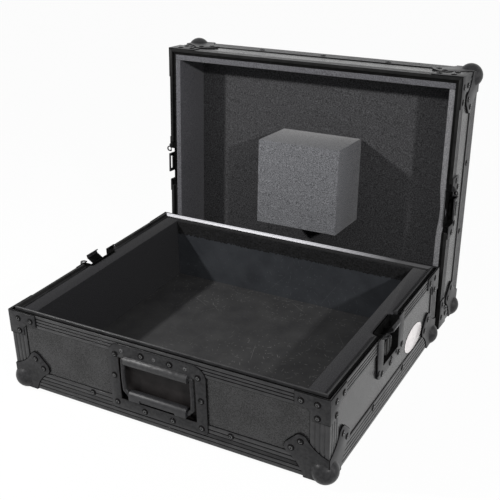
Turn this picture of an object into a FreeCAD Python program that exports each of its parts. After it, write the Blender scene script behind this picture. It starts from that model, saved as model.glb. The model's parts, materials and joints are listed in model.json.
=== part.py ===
import FreeCAD, Part
import math
import os

# Turntable flight case, black hardware on black laminate.
# The base tray stands on its ball corners. The lid, lifted off, stands behind it on its
# own two lower ball corners, turned and leaning back a little, with its rim close to
# one of the base's rear balls.
# Case coordinates: x across, y from the front face to the rear, z up from the
# underside. Everything is moved at the end so that the origin is on the floor,
# under the middle of the whole object.

V = FreeCAD.Vector
os.makedirs("parts", exist_ok=True)

# Overall sizes
case_width = 533.0
case_depth = 425.5
base_height = 131.0
lid_depth = 98.0
lid_tilt_deg = 4.5
lid_turn_deg = 0.7
lid_shift = 2.0
lid_rest_gap = 0.5

# Wall build-up, from the outside in
skin = 1.5
ply = 9.0
floor_liner = 9.0
back_liner = 1.5
front_foam = 3.5
rear_foam = 9.5
rear_foam_tall = 22.0
side_foam = 28.0
lid_foam = 9.5
foam_gap = 0.3
base_foam_drop = 3.0
lid_foam_drop = 3.4
block_width = 152.0
block_height = 150.0
block_depth = 100.0
block_centre = 211.5

# Extruded edge profiles
edge_leg = 32.0
corner_leg = 28.0
rim_leg = 21.0
rib_groove = 0.6
rib_groove_width = 1.7
rim_web = 2.0
channel_width = 4.5
channel_depth = 4.0
tongue_rise = 3.0
tongue_flat = 2.5
slope_drop = 0.5
inner_leg = 14.0
lid_lip = 5.5
lid_groove = 3.6

# Fittings
bracket_thick = 1.5
bracket_long = 50.0
bracket_tall = 38.0
bracket_wide = 25.0
bracket_band = 20.0
bracket_slant = 6.0
ball_radius = 19.5
ball_inset = 10.0
ball_rise = 12.0
plate_thick = 1.2
plate_edge = 37.0
lobe_far = 55.0
lobe_near = 41.0
lobe_radius = 10.5
lobe_hollow = 4.0
rivet_radius = 4.2
rivet_height = 1.5
rivet_rim = 0.5
rivet_bore = 1.4
rivet_bore_depth = 1.1
small_rivet_share = 0.7
bracket_rivet_near = 17.0
bracket_rivet_far = 40.5
bracket_rivet_drop = 11.0
bracket_rivet_low = 32.0
base_edge_rivet_height = 26.0
lid_edge_rivet_height = 22.0
edge_rivet_front_share = 0.445
edge_rivet_side_share = 0.282

# Front handle
handle_half = 82.0
handle_low = 15.0
handle_rim_gap = 6.5
handle_corner = 20.0
handle_corner_low = 7.0
handle_sheet = 1.5
pan_sheet = 1.2
pan_fit = 0.3
opening_half = 65.0
opening_rise = 18.5
pivot_drop = 24.5
pivot_radius = 3.25
pivot_fit = 0.05
hood_sheet = 3.7
hood_half = 53.5
arm_half = 58.0
arm_bow = 59.0
arm_turn = 51.0
grip_half = 49.0
grip_rise = 1.5
grip_tall = 15.0
grip_deep = 14.0
grip_round = 6.0
grip_shift = 1.0
grip_notch_half = 30.0
grip_notch_tall = 6.0
grip_notch_deep = 3.0
arm_bow_share = 0.45
handle_rivet_shares = ((0.293, 0.064), (0.884, 0.091), (0.899, 0.507), (0.854, 0.84),
                       (0.293, 0.913))
hood_rivet_shares = (-0.706, -0.024, 0.607)
hood_rivet_height_share = 0.917
dimple_radius = 6.3
dimple_depth = 0.6

# Side latches, measured from the middle of the side wall
latch_tall = 69.0
latch_half = 52.0
latch_corner = 9.0
latch_rivet_rise = 7.0
latch_rivet_main_share = 0.654
latch_rivet_end_share = 0.9
latch_rivet_end_rise = 7.0
latch_screw_offset_near = 4.0
latch_screw_offset_far = 24.0
latch_screw_drop = 55.5
recess_half = 30.0
recess_tall = 51.0
recess_depth = 13.8
notch_half = 42.0
spindle_drop = 34.0
spindle_radius = 5.5
spindle_fit = 0.4
latch_gap = 0.3
hook_thick = 1.8
hook_half = 13.0
hook_travel = 6.0
hook_foot_drop = 44.0
hook_bend_drop = 15.0
hook_out = 8.0
hook_shoulder_drop = 1.5
hook_tip_out = 9.0
hook_tip_rise = 3.0
hook_curl_in = 3.5
hook_top_rise = 5.0
cam_radius = 8.0
cam_thick = 2.2
cam_offset = 3.0
bar_half = 2.8
bar_long = 14.0
bar_front = 3.0
bar_back = 7.0
ear_half = 7.4
ear_back = 5.8
ear_thick = 1.8
wing_pin = 1.2
wing_pin_at = 5.2
wing_pin_deep = 4.4
wing_pin_fit = 0.05
knuckle_radius = 2.2
wing_side_gap = 0.2
wing_reach = 16.0
wing_sheet = 1.8

# Padlock eyes
eye_offset = 27.25
eye_radius = 5.0
eye_hole = 3.0
eye_sheet = 2.0
eye_out = 4.0
eye_below_rim = 1.0
eye_tab = 12.0
lid_eye_below_rim = 3.0

# Lid keepers
keeper_dish_long = 35.0
keeper_opening_long = 24.0
keeper_opening_half = 30.0
keeper_depth = 7.5
keeper_half = 17.5
keeper_sheet = 2.5
keeper_stand_off = 3.0
keeper_foot = 10.0
keeper_front = 4.0
keeper_rivet_main_share = 0.606
keeper_rivet_end_share = 0.85
keeper_rivet_end_rise = 11.2
keeper_slot_half = 12.0
keeper_slot_low = 7.0
keeper_slot_high = 14.0

# Oval badge on the right side
badge_centre = 321.0
badge_height = 54.0
badge_long = 38.0
badge_tall = 20.5
badge_thick = 0.5

# Derived places
handle_high = base_height - handle_rim_gap
pivot_height = handle_high - pivot_drop
opening_low = handle_low + opening_rise
grip_low = opening_low + grip_rise
latch_low = base_height - latch_tall
latch_screw_height = base_height - latch_screw_drop
recess_low = base_height - recess_tall
spindle_height = base_height - spindle_drop
hook_foot = base_height - hook_foot_drop
hook_bend = base_height - hook_bend_drop
hook_shoulder = base_height - hook_shoulder_drop
hook_tip = base_height + hook_tip_rise
hook_top = base_height + hook_top_rise
latch_screw_places = [(latch_screw_offset_near, latch_screw_height),
                      (latch_screw_offset_far, latch_screw_height)]
half_width = case_width / 2
half_depth = case_depth / 2
wall = skin + ply
ball_out = ball_radius - ball_inset
ball_drop = ball_radius - ball_rise
tilt = math.radians(lid_tilt_deg)
turn = math.radians(lid_turn_deg)
lid_ball_deep = lid_depth - ball_rise
lid_z = ball_rise + lid_ball_deep * math.sin(tilt) - ball_inset * math.cos(tilt)
lid_ball_side = half_width - ball_inset + lid_shift
lid_clear = ball_radius + lid_rest_gap - (ball_rise - lid_z) * math.sin(tilt)
lid_clear += lid_ball_side * math.sin(turn) * math.cos(tilt)
lid_y = case_depth - ball_inset + lid_clear / (math.cos(turn) * math.cos(tilt))
lid_rear = lid_ball_deep * math.cos(tilt) + (case_depth - ball_inset) * math.sin(tilt)
lid_rear = lid_rear * math.cos(turn) + (half_width - ball_inset) * math.sin(turn)
object_rear = lid_y + lid_rear + ball_radius
object_mid = (object_rear - ball_out) / 2
object_side_mid = lid_shift / 2


def block(x0, x1, y0, y1, z0, z1):
    return Part.makeBox(x1 - x0, y1 - y0, z1 - z0, V(x0, y0, z0))


def prism(points, along):
    return Part.Face(Part.makePolygon(points + [points[0]])).extrude(along)


def rod(start, end, radius):
    along = end - start
    return Part.makeCylinder(radius, along.Length, start, along)


def fuse_all(shapes):
    return shapes[0].multiFuse(shapes[1:]).removeSplitter()


def over_x(shape):
    return shape.mirror(V(0, 0, 0), V(1, 0, 0))


def over_y(shape):
    return shape.mirror(V(0, half_depth, 0), V(0, 1, 0))


def four_corners(shape):
    rear = over_y(shape)
    return [shape, over_x(shape), rear, over_x(rear)]


def export_base(shape, node):
    placed = shape.copy()
    placed.translate(V(-object_side_mid, -object_mid, ball_drop))
    placed.exportStep("parts/" + node + ".step")


def export_lid(shape, node):
    # The lid is drawn lying open side up, then stood on its edge behind the base
    placed = shape.copy()
    placed.rotate(V(0, 0, 0), V(1, 0, 0), 90 - lid_tilt_deg)
    placed.translate(V(0, lid_depth * math.cos(tilt), -lid_depth * math.sin(tilt)))
    placed.rotate(V(0, 0, 0), V(0, 0, 1), lid_turn_deg)
    placed.translate(V(lid_shift - object_side_mid, lid_y - object_mid, lid_z + ball_drop))
    placed.exportStep("parts/" + node + ".step")


# Wall panels

def floor_panel():
    return block(-half_width + skin, half_width - skin, skin, case_depth - skin, skin, wall)


def cross_panel(top):
    # Front wall, full width
    return block(-half_width + skin, half_width - skin, skin, wall, wall, top)


def side_panel(top):
    # Right wall, between the front and rear walls
    return block(half_width - wall, half_width - skin, wall, case_depth - wall, wall, top)


# Ribbed edge angles

def ribbed(start, along, inward, length, count):
    # Points of a ribbed outer line, with shallow grooves cut inward
    points = [start]
    for i in range(count):
        middle = length * (i + 1) / (count + 1)
        for place, deep in ((-1, 0), (-1, 1), (1, 1), (1, 0)):
            reach = middle + place * rib_groove_width / 2
            points.append(start + along * reach + inward * (deep * rib_groove))
    return points + [start + along * length]


def angle_section(corner, first, second, leg, count):
    # L section with its corner at a point, a leg along each direction
    one = ribbed(corner, first, second, leg, count)
    two = ribbed(corner, second, first, leg, count)
    two.reverse()
    tip_one = corner + first * leg + second * skin
    heel = corner + first * skin + second * skin
    tip_two = corner + second * leg + first * skin
    return one + [tip_one, heel, tip_two] + two[:-1]


def front_mitre(height):
    # Plan of the front bar, mitred to its neighbours at 45 degrees
    out = half_width + wall
    deep = half_width - half_depth
    points = [V(-out, -wall, -wall), V(out, -wall, -wall)]
    points += [V(deep, half_depth, -wall), V(-deep, half_depth, -wall)]
    return prism(points, V(0, 0, height + 2 * wall))


def right_mitre(height):
    # Plan of the right bar, its ends mitred the other way
    deep = half_width - half_depth
    out = half_width + wall
    points = [V(deep, half_depth, -wall), V(out, -wall, -wall)]
    points.append(V(out, case_depth + wall, -wall))
    return prism(points, V(0, 0, height + 2 * wall))


def front_edge_angle():
    section = angle_section(V(-half_width, 0, 0), V(0, 0, 1), V(0, 1, 0), edge_leg, 4)
    bar = prism(section, V(case_width, 0, 0))
    return bar.common(front_mitre(edge_leg))


def right_edge_angle():
    section = angle_section(V(half_width, 0, 0), V(0, 0, 1), V(-1, 0, 0), edge_leg, 4)
    bar = prism(section, V(0, case_depth, 0))
    return bar.common(right_mitre(edge_leg))


def edge_angles():
    front = front_edge_angle()
    right = right_edge_angle()
    return Part.makeCompound([front, over_y(front), right, over_x(right)])


def corner_angles(height):
    first = V(1, 0, 0)
    section = angle_section(V(-half_width, 0, edge_leg), first, V(0, 1, 0), corner_leg, 3)
    bar = prism(section, V(0, 0, height - rim_leg - edge_leg))
    return Part.makeCompound(four_corners(bar))


# Rim extrusions

def tongue_section(height, place):
    # place turns a depth from the outer face and a height into a point
    out = [(skin, 0), (skin, -channel_depth)]
    rise = skin + channel_width
    out += [(rise, -channel_depth), (rise, tongue_rise), (rise + tongue_flat, tongue_rise)]
    inner = wall + skin
    out += [(inner, -slope_drop), (inner, -inner_leg), (wall, -inner_leg)]
    under = -channel_depth - rim_web
    out += [(wall, under), (skin, under), (skin, -rim_leg)]
    return [place(n, height + z) for n, z in out]


def groove_section(height, place):
    out = [(lid_lip, 0), (lid_lip, -lid_groove), (wall, -lid_groove)]
    under = -lid_groove - rim_web
    out += [(wall, under), (skin, under), (skin, -rim_leg)]
    return [place(n, height + z) for n, z in out]


def rim_bar(height, section, place, up, inward, along):
    outer = ribbed(place(0, height - rim_leg), up, inward, rim_leg, 3)
    return prism(outer + section(height, place), along)


def front_rim(height, section):
    def place(n, z):
        return V(-half_width, n, z)
    bar = rim_bar(height, section, place, V(0, 0, 1), V(0, 1, 0), V(case_width, 0, 0))
    return bar.common(front_mitre(height))


def right_rims(height, section):
    # Two lengths, one each side of the latch notch
    def place(n, z):
        return V(half_width - n, 0, z)
    bar = rim_bar(height, section, place, V(0, 0, 1), V(-1, 0, 0), V(0, case_depth, 0))
    near = bar.common(right_mitre(height))
    near = near.cut(block(0, 2 * half_width, half_depth - notch_half, 2 * case_depth,
                          0, 2 * height))
    return Part.makeCompound([near, over_y(near)])


def export_rims(height, section, export, prefix):
    front = front_rim(height, section)
    right = right_rims(height, section)
    export(front, prefix + "_rim_front")
    export(over_y(front), prefix + "_rim_rear")
    export(right, prefix + "_rim_right")
    export(over_x(right), prefix + "_rim_left")


# Rim corner brackets

def bracket_outline(place, height):
    # Wraps round the corner: a band along the rim and a leg down the corner angle
    low = height - bracket_tall
    band = height - bracket_band
    points = [(-bracket_thick, height), (bracket_long, height), (bracket_long, band)]
    points += [(bracket_wide + bracket_slant, band), (bracket_wide, band - bracket_slant)]
    points += [(bracket_wide, low), (-bracket_thick, low)]
    return [place(u, z) for u, z in points]


def rim_brackets(height):
    def on_front(u, z):
        return V(-half_width + u, 0, z)

    def on_side(u, z):
        return V(-half_width, u, z)
    front = prism(bracket_outline(on_front, height), V(0, -bracket_thick, 0))
    side = prism(bracket_outline(on_side, height), V(-bracket_thick, 0, 0))
    return Part.makeCompound(four_corners(fuse_all([front, side])))


# Ball corners

def lobe_point(centre, degrees):
    angle = math.radians(degrees)
    return (centre[0] + lobe_radius * math.cos(angle), centre[1] + lobe_radius * math.sin(angle))


def hollow_point(start, end):
    # Middle of the concave edge, drawn in towards the corner
    span = math.hypot(end[0] - start[0], end[1] - start[1])
    middle = ((start[0] + end[0]) / 2, (start[1] + end[1]) / 2)
    across = ((end[1] - start[1]) / span, (start[0] - end[0]) / span)
    return (middle[0] - across[0] * lobe_hollow, middle[1] - across[1] * lobe_hollow)


def plate_face(place):
    # Two-lobed outline on one face of the corner
    far = (lobe_far, lobe_near)
    near = (lobe_near, lobe_far)
    start = (plate_edge, -plate_thick)
    end = (-plate_thick, plate_edge)
    low = lobe_point(far, -60)
    high = lobe_point(near, 150)
    back = (-plate_thick, -plate_thick)

    def at(point):
        return place(point[0], point[1])
    edges = [
        Part.LineSegment(at(back), at(start)).toShape(),
        Part.Arc(at(start), at(hollow_point(start, low)), at(low)).toShape(),
        Part.Arc(at(low), at(lobe_point(far, -10)), at(lobe_point(far, 45))).toShape(),
        Part.LineSegment(at(lobe_point(far, 45)), at(lobe_point(near, 45))).toShape(),
        Part.Arc(at(lobe_point(near, 45)), at(lobe_point(near, 100)), at(high)).toShape(),
        Part.Arc(at(high), at(hollow_point(high, end)), at(end)).toShape(),
        Part.LineSegment(at(end), at(back)).toShape(),
    ]
    return Part.Face(Part.Wire(edges))


def ball_corner():
    # Corner at the front left underside, inside lies towards plus x, y and z
    corner = V(-half_width, 0, 0)
    faces = [
        (lambda u, v: corner + V(0, u, v), V(1, 0, 0), corner_leg, edge_leg),
        (lambda u, v: corner + V(u, 0, v), V(0, 1, 0), corner_leg, edge_leg),
        (lambda u, v: corner + V(u, v, 0), V(0, 0, 1), edge_leg, edge_leg),
    ]
    pieces = []
    for place, inward, leg_u, leg_v in faces:
        face = plate_face(place)
        pieces.append(face.extrude(inward * -plate_thick))
        # Where the plate passes the angles it is thick enough to reach the panel
        points = [place(leg_u, leg_v), place(lobe_far * 2, leg_v)]
        points += [place(lobe_far * 2, lobe_far * 2), place(leg_u, lobe_far * 2)]
        pieces.append(face.extrude(inward * skin).common(prism(points, inward * skin)))
    ball = Part.makeSphere(ball_radius, corner + V(ball_inset, ball_inset, ball_rise))
    inside = block(-half_width, 0, 0, half_depth, 0, half_depth)
    # The plates' shared tip ends inside the ball
    tip = block(-half_width - wall, ball_inset - half_width, -wall, ball_inset, -wall, ball_rise)
    plates = fuse_all(pieces).cut(tip.cut(ball))
    return fuse_all([plates, ball.cut(inside)])


def ball_corners():
    return Part.makeCompound(four_corners(ball_corner()))


# Hollow pop rivets

def rivet(point, outward, share):
    head = rivet_radius * share
    tall = rivet_height * share
    bore = rivet_bore * share
    deep = rivet_bore_depth * share
    rim = rivet_rim * share
    points = [V(0, 0, 0), V(head, 0, 0), V(head, 0, rim), V((head + bore) / 2, 0, tall)]
    points += [V(bore, 0, tall), V(bore, 0, tall - deep), V(0, 0, tall - deep)]
    solid = Part.Face(Part.makePolygon(points + [points[0]])).revolve(V(0, 0, 0), V(0, 0, 1), 360)
    solid.Placement = FreeCAD.Placement(point, FreeCAD.Rotation(V(0, 0, 1), outward))
    return solid


def corner_rivets(height):
    # Rivets of one corner: rim bracket on two faces, ball plate on three
    rivets = []
    places = [(bracket_rivet_near, bracket_rivet_drop), (bracket_rivet_far, bracket_rivet_drop)]
    places.append((bracket_rivet_near, bracket_rivet_low))
    for u, z in places:
        rivets.append(rivet(V(-half_width + u, -bracket_thick, height - z), V(0, -1, 0), 1))
        rivets.append(rivet(V(-half_width - bracket_thick, u, height - z), V(-1, 0, 0), 1))
    for u, v in ((lobe_far, lobe_near), (lobe_near, lobe_far)):
        rivets.append(rivet(V(-half_width + u, -plate_thick, v), V(0, -1, 0), 1))
        rivets.append(rivet(V(-half_width - plate_thick, u, v), V(-1, 0, 0), 1))
        rivets.append(rivet(V(-half_width + u, v, -plate_thick), V(0, 0, -1), 1))
    return [copy for one in rivets for copy in four_corners(one)]


def edge_rivets(height, middle):
    # Along the edge angles of all four walls
    rivets = []
    front_shares = [-edge_rivet_front_share, edge_rivet_front_share] + ([0] if middle else [])
    for share in front_shares:
        one = rivet(V(share * half_width, 0, height), V(0, -1, 0), 1)
        rivets += [one, over_y(one)]
    for share in (-edge_rivet_side_share, edge_rivet_side_share):
        one = rivet(V(half_width, half_depth + share * half_depth, height), V(1, 0, 0), 1)
        rivets += [one, over_x(one)]
    return rivets


# Rounded sheet outlines

def rounded_face(place, u0, u1, v0, v1, low, high):
    corners = [(u0 + low, v0 + low, low, 180), (u1 - low, v0 + low, low, 270)]
    corners += [(u1 - high, v1 - high, high, 0), (u0 + high, v1 - high, high, 90)]
    ends = []
    arcs = []
    for u, v, radius, turn in corners:
        marks = []
        for degrees in (turn, turn + 45, turn + 90):
            angle = math.radians(degrees)
            marks.append(place(u + radius * math.cos(angle), v + radius * math.sin(angle)))
        ends.append((marks[0], marks[2]))
        arcs.append(Part.Arc(*marks).toShape() if radius > 0 else None)
    edges = []
    for i in range(4):
        if arcs[i]:
            edges.append(arcs[i])
        edges.append(Part.LineSegment(ends[i][1], ends[(i + 1) % 4][0]).toShape())
    return Part.Face(Part.Wire(edges))


# Recessed front handle

hood_bore = pivot_radius + pivot_fit
hood_radius = hood_bore + hood_sheet
pan_high = pivot_height + pivot_radius + pan_fit + pivot_fit


def handle_cut_out():
    out = pan_sheet + pan_fit
    low = opening_low - out
    return block(-opening_half - out, opening_half + out, 0, 2 * wall, low, pan_high + out)


def handle_rivet_point(side, shares):
    height = handle_low + shares[1] * (handle_high - handle_low)
    return V(side * shares[0] * handle_half, -handle_sheet, height)


def handle_plate():
    def place(x, z):
        return V(x, 0, z)
    face = rounded_face(place, -handle_half, handle_half, handle_low, handle_high,
                        handle_corner_low, handle_corner)
    plate = face.extrude(V(0, -handle_sheet, 0))
    plate = plate.cut(block(-opening_half, opening_half, -wall, 0, opening_low,
                            pivot_height + hood_bore))
    # Half round hood over the bail's pivot
    start = V(-hood_half, 0, pivot_height)
    end = V(hood_half, 0, pivot_height)
    hood = rod(start, end, hood_radius).cut(rod(start, end, hood_bore))
    hood = hood.cut(block(-handle_half, handle_half, 0, wall, opening_low, handle_high))
    out = pan_sheet
    pan = block(-opening_half - out, opening_half + out, 0, wall,
                opening_low - out, pan_high + out)
    pan = pan.cut(block(-opening_half, opening_half, 0, wall - out, opening_low, pan_high))
    body = fuse_all([plate, hood, pan])
    # Shallow dimples round the two upper rivets
    for side in (-1, 1):
        centre = handle_rivet_point(side, handle_rivet_shares[-1])
        body = body.cut(rod(centre, centre + V(0, dimple_depth, 0), dimple_radius))
    return body


def handle_bail():
    middle = grip_low + grip_tall / 2
    drop = pivot_height - middle
    route = [V(0, 0, pivot_height), V(arm_half, 0, pivot_height)]
    route.append(V(arm_bow, 0, middle + drop * arm_bow_share))
    route += [V(arm_half, 0, middle + grip_tall / 2), V(arm_turn, 0, middle), V(0, 0, middle)]
    bars = []
    for start, end in zip(route, route[1:]):
        arm = [rod(start, end, pivot_radius)]
        if end.x > 0:
            arm.append(Part.makeSphere(pivot_radius, end))
        bars += arm + [over_x(one) for one in arm]
    return fuse_all(bars)


def handle_grip(bail):
    # Half round above, square below, with a long notch under its middle
    front = grip_shift - grip_deep / 2
    bar = block(-grip_half, grip_half, front, front + grip_deep, grip_low, grip_low + grip_tall)
    top = grip_low + grip_tall / 2
    upper = [edge for edge in bar.Edges if edge.BoundBox.ZMin > top]
    long_edges = [edge for edge in upper if edge.BoundBox.XLength > grip_half]
    bar = bar.makeFillet(grip_round, long_edges)
    notch = block(-grip_notch_half, grip_notch_half, front, front + grip_notch_deep,
                  grip_low, grip_low + grip_notch_tall)
    return bar.cut(notch).cut(bail)


def handle_rivets():
    rivets = []
    for shares in handle_rivet_shares:
        sunk = dimple_depth if shares == handle_rivet_shares[-1] else 0
        for side in (-1, 1):
            point = handle_rivet_point(side, shares) + V(0, sunk, 0)
            rivets.append(rivet(point, V(0, -1, 0), 1))
    height = handle_low + hood_rivet_height_share * (handle_high - handle_low)
    for x_share in hood_rivet_shares:
        point = V(x_share * handle_half, -handle_sheet, height)
        rivets.append(rivet(point, V(0, -1, 0), small_rivet_share))
    return rivets


# Latch dishes, drawn on the right wall

def on_right(n, y, z):
    return V(half_width - n, half_depth + y, z)


def right_block(n0, n1, y0, y1, z0, z1):
    return block(half_width - n1, half_width - n0, half_depth + y0, half_depth + y1, z0, z1)


def dish(low, high, opening, opening_low_at, depth, panel_top):
    # Riveted flange with a pan, open at the rim, and tabs over the wall's edge
    def place(y, z):
        return on_right(0, y, z)
    flange = rounded_face(place, -latch_half, latch_half, low, high, latch_corner, 0)
    flange = flange.extrude(V(handle_sheet, 0, 0))
    out = pan_sheet
    pan = right_block(0, depth + out, -opening - out, opening + out,
                      opening_low_at - out, high)
    tabs = [right_block(0, wall, side * notch_half - (side + 1) * tab_half(opening),
                        side * notch_half - (side - 1) * tab_half(opening),
                        panel_top, panel_top + out) for side in (-1, 1)]
    body = fuse_all([flange, pan] + tabs)
    return body.cut(right_block(-wall, depth, -opening, opening, opening_low_at, high + wall))


def tab_half(opening):
    return (notch_half - opening) / 2


def dish_cut_out(opening, opening_low_at, high):
    out = pan_sheet + pan_fit
    return right_block(0, 2 * wall, -opening - out, opening + out, opening_low_at - out, high)


def strip(path, sheet, half):
    # Bent sheet across the wall: a run between each pair of points, round at the bends
    pieces = []
    for (n0, z0), (n1, z1) in zip(path, path[1:]):
        span = math.hypot(n1 - n0, z1 - z0)
        across_n = (z1 - z0) / span * sheet / 2
        across_z = (n0 - n1) / span * sheet / 2
        points = [on_right(n0 + across_n, -half, z0 + across_z)]
        points.append(on_right(n1 + across_n, -half, z1 + across_z))
        points.append(on_right(n1 - across_n, -half, z1 - across_z))
        points.append(on_right(n0 - across_n, -half, z0 - across_z))
        pieces.append(prism(points, V(0, 2 * half, 0)))
    for n, z in path[1:-1]:
        pieces.append(rod(on_right(n, -half, z), on_right(n, half, z), sheet / 2))
    return fuse_all(pieces)


base_panel_top = base_height - channel_depth - rim_web
lid_panel_top = lid_depth - lid_groove - rim_web
spindle_pin = spindle_radius / 2


def latch_dish():
    body = dish(latch_low, base_height, recess_half, recess_low, recess_depth, base_panel_top)
    hole = rod(on_right(recess_depth - pan_sheet, 0, spindle_height),
               on_right(recess_depth + 2 * pan_sheet, 0, spindle_height),
               spindle_pin + wing_pin_fit)
    return body.cut(hole)


hook_plane = recess_depth - latch_gap - hook_thick / 2


def latch_hook():
    path = [(hook_plane, hook_foot), (hook_plane, hook_bend), (-hook_out, hook_shoulder)]
    path += [(-hook_tip_out, hook_tip), (hook_curl_in - hook_tip_out, hook_top)]
    body = strip(path, hook_thick, hook_half)
    reach = spindle_radius + spindle_fit
    slot = right_block(hook_plane - hook_thick, hook_plane + hook_thick, -reach, reach,
                       spindle_height - reach, spindle_height + reach + hook_travel)
    return body.cut(slot)


def latch_spindle():
    back = recess_depth - wing_pin_fit
    shaft = rod(on_right(back, 0, spindle_height), on_right(bar_back, 0, spindle_height),
                spindle_radius)
    pin = rod(on_right(recess_depth + pan_sheet, 0, spindle_height),
              on_right(bar_back, 0, spindle_height), spindle_pin)
    cam_back = hook_plane - hook_thick / 2 - latch_gap
    cam_high = spindle_height + cam_offset
    cam = rod(on_right(cam_back, 0, cam_high), on_right(cam_back - cam_thick, 0, cam_high),
              cam_radius)
    low = spindle_height - bar_long
    high = spindle_height + bar_long
    pieces = [shaft, pin, cam, right_block(bar_front, bar_back, -bar_half, bar_half, low, high)]
    pieces.append(right_block(bar_front, ear_back, -ear_half, ear_half, low, low + ear_thick))
    pieces.append(right_block(bar_front, ear_back, -ear_half, ear_half, high - ear_thick, high))
    for side in (-1, 1):
        pieces.append(rod(on_right(wing_pin_deep, side * wing_pin_at, low),
                          on_right(wing_pin_deep, side * wing_pin_at, high), wing_pin))
    return fuse_all(pieces)


def latch_wing():
    # Folded flat, on the rear side of the spindle
    reach = bar_long - ear_thick - wing_side_gap
    low = spindle_height - reach
    high = spindle_height + reach
    front = wing_pin_deep - wing_sheet / 2
    leaf = rod(on_right(front + wing_sheet, 0, spindle_height),
               on_right(front, 0, spindle_height), wing_reach)
    leaf = leaf.common(right_block(front, front + wing_sheet, wing_pin_at, wing_reach, low, high))
    foot = on_right(wing_pin_deep, wing_pin_at, low)
    head = on_right(wing_pin_deep, wing_pin_at, high)
    bore = rod(foot, head, wing_pin + wing_pin_fit)
    return fuse_all([rod(foot, head, knuckle_radius), leaf]).cut(bore)


def padlock_eye(height, offset, below, turn):
    # Ring beside the latch, its tab welded to the dish flange
    middle = -handle_sheet - eye_out
    high = height - below
    low = high - eye_sheet
    far = offset + turn * (eye_tab + eye_radius) / 2
    near = offset - turn * eye_radius
    points = [on_right(-handle_sheet, offset + turn * eye_tab, low), on_right(middle, far, low)]
    points += [on_right(middle, near, low), on_right(-handle_sheet, near, low)]
    tab = prism(points, V(0, 0, eye_sheet))
    ring = rod(on_right(middle, offset, low), on_right(middle, offset, high), eye_radius)
    body = fuse_all([tab, ring])
    body = body.cut(right_block(-handle_sheet, wall, -half_depth, half_depth, low, high))
    return body.cut(rod(on_right(middle, offset, low), on_right(middle, offset, high), eye_hole))


def lid_keeper():
    level = handle_sheet + keeper_sheet / 2
    raised = level + keeper_stand_off
    foot = lid_depth - keeper_dish_long + pan_sheet
    bend = foot + keeper_foot
    path = [(-level, foot), (-level, bend), (-raised, bend + keeper_stand_off)]
    path.append((-raised, lid_depth - keeper_front))
    body = strip(path, keeper_sheet, keeper_half)
    slot = right_block(-raised - keeper_sheet, -raised + keeper_sheet, -keeper_slot_half,
                       keeper_slot_half, lid_depth - keeper_slot_high,
                       lid_depth - keeper_slot_low)
    return body.cut(slot)


def dish_rivets(low, level, main_share, end_share, end_rise):
    rivets = []
    for share in (-main_share, main_share):
        rivets.append(rivet(on_right(-handle_sheet, share * latch_half, low), V(1, 0, 0), 1))
    rivets.append(rivet(on_right(-level, 0, low), V(1, 0, 0), 1))
    for share in (-end_share, end_share):
        point = on_right(-handle_sheet, share * latch_half, low + end_rise)
        rivets.append(rivet(point, V(1, 0, 0), 1))
    return rivets + [over_x(one) for one in rivets]


# Foam and linings

def foam_section(place, thickness, low, high):
    # Rises behind the rim's inner leg and then fills out above it
    shoulder = base_height - inner_leg - foam_gap
    behind = wall + skin + foam_gap
    points = [(wall, low), (wall + thickness, low), (wall + thickness, high), (behind, high)]
    points += [(behind, shoulder), (wall, shoulder)]
    return [place(n, z) for n, z in points]


def right_foam():
    # Runs through to the rear wall, notched there for the rear rim's inner leg
    start = wall + front_foam + foam_gap
    length = case_depth - wall - start

    def place(n, z):
        return V(half_width - n, start, z)
    section = foam_section(place, side_foam, wall, base_height - base_foam_drop)
    body = prism(section, V(0, length, 0))
    out = pan_sheet + foam_gap
    pocket = right_block(0, recess_depth + out, -recess_half - out, recess_half + out,
                         recess_low - out, base_height)
    shelf = right_block(0, wall + skin + foam_gap, -notch_half, notch_half,
                        base_panel_top - foam_gap, base_height)
    leg_room = block(0, half_width, case_depth - wall - skin - foam_gap, case_depth,
                     base_height - inner_leg - foam_gap, base_height)
    return body.cut(pocket).cut(shelf).cut(leg_room)


lining_half = half_width - wall - side_foam - foam_gap
rear_foam_low = base_height - base_foam_drop - rear_foam_tall


def rear_foam_strip():
    # Along the top of the rear wall, between the side foams
    def place(n, z):
        return V(-lining_half, case_depth - n, z)
    section = foam_section(place, rear_foam, rear_foam_low, base_height - base_foam_drop)
    return prism(section, V(2 * lining_half, 0, 0))


def tray_lining():
    # Pad on the floor between the foams, turned up the rear wall to the foam strip
    start = wall + front_foam + foam_gap
    pad = block(-lining_half, lining_half, start, case_depth - wall, wall, wall + floor_liner)
    rise = block(-lining_half, lining_half, case_depth - wall - rear_foam, case_depth - wall,
                 wall, rear_foam_low)
    return fuse_all([pad, rise])


def front_foam_sheet():
    inner = half_width - wall
    return block(-inner, inner, wall, wall + front_foam, wall,
                 base_height - inner_leg - foam_gap)


def badge():
    level = half_width - skin
    centre = V(level, badge_centre, badge_height)
    ellipse = Part.Ellipse(V(0, 0, 0), badge_long, badge_tall).toShape()
    disc = Part.Face(Part.Wire([ellipse])).extrude(V(0, 0, badge_thick))
    # The long way of the ellipse runs along y and its thickness along x
    disc.rotate(V(0, 0, 0), V(0, 0, 1), 90)
    disc.rotate(V(0, 0, 0), V(0, 1, 0), 90)
    disc.translate(centre)
    return disc


# Base tray

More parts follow.
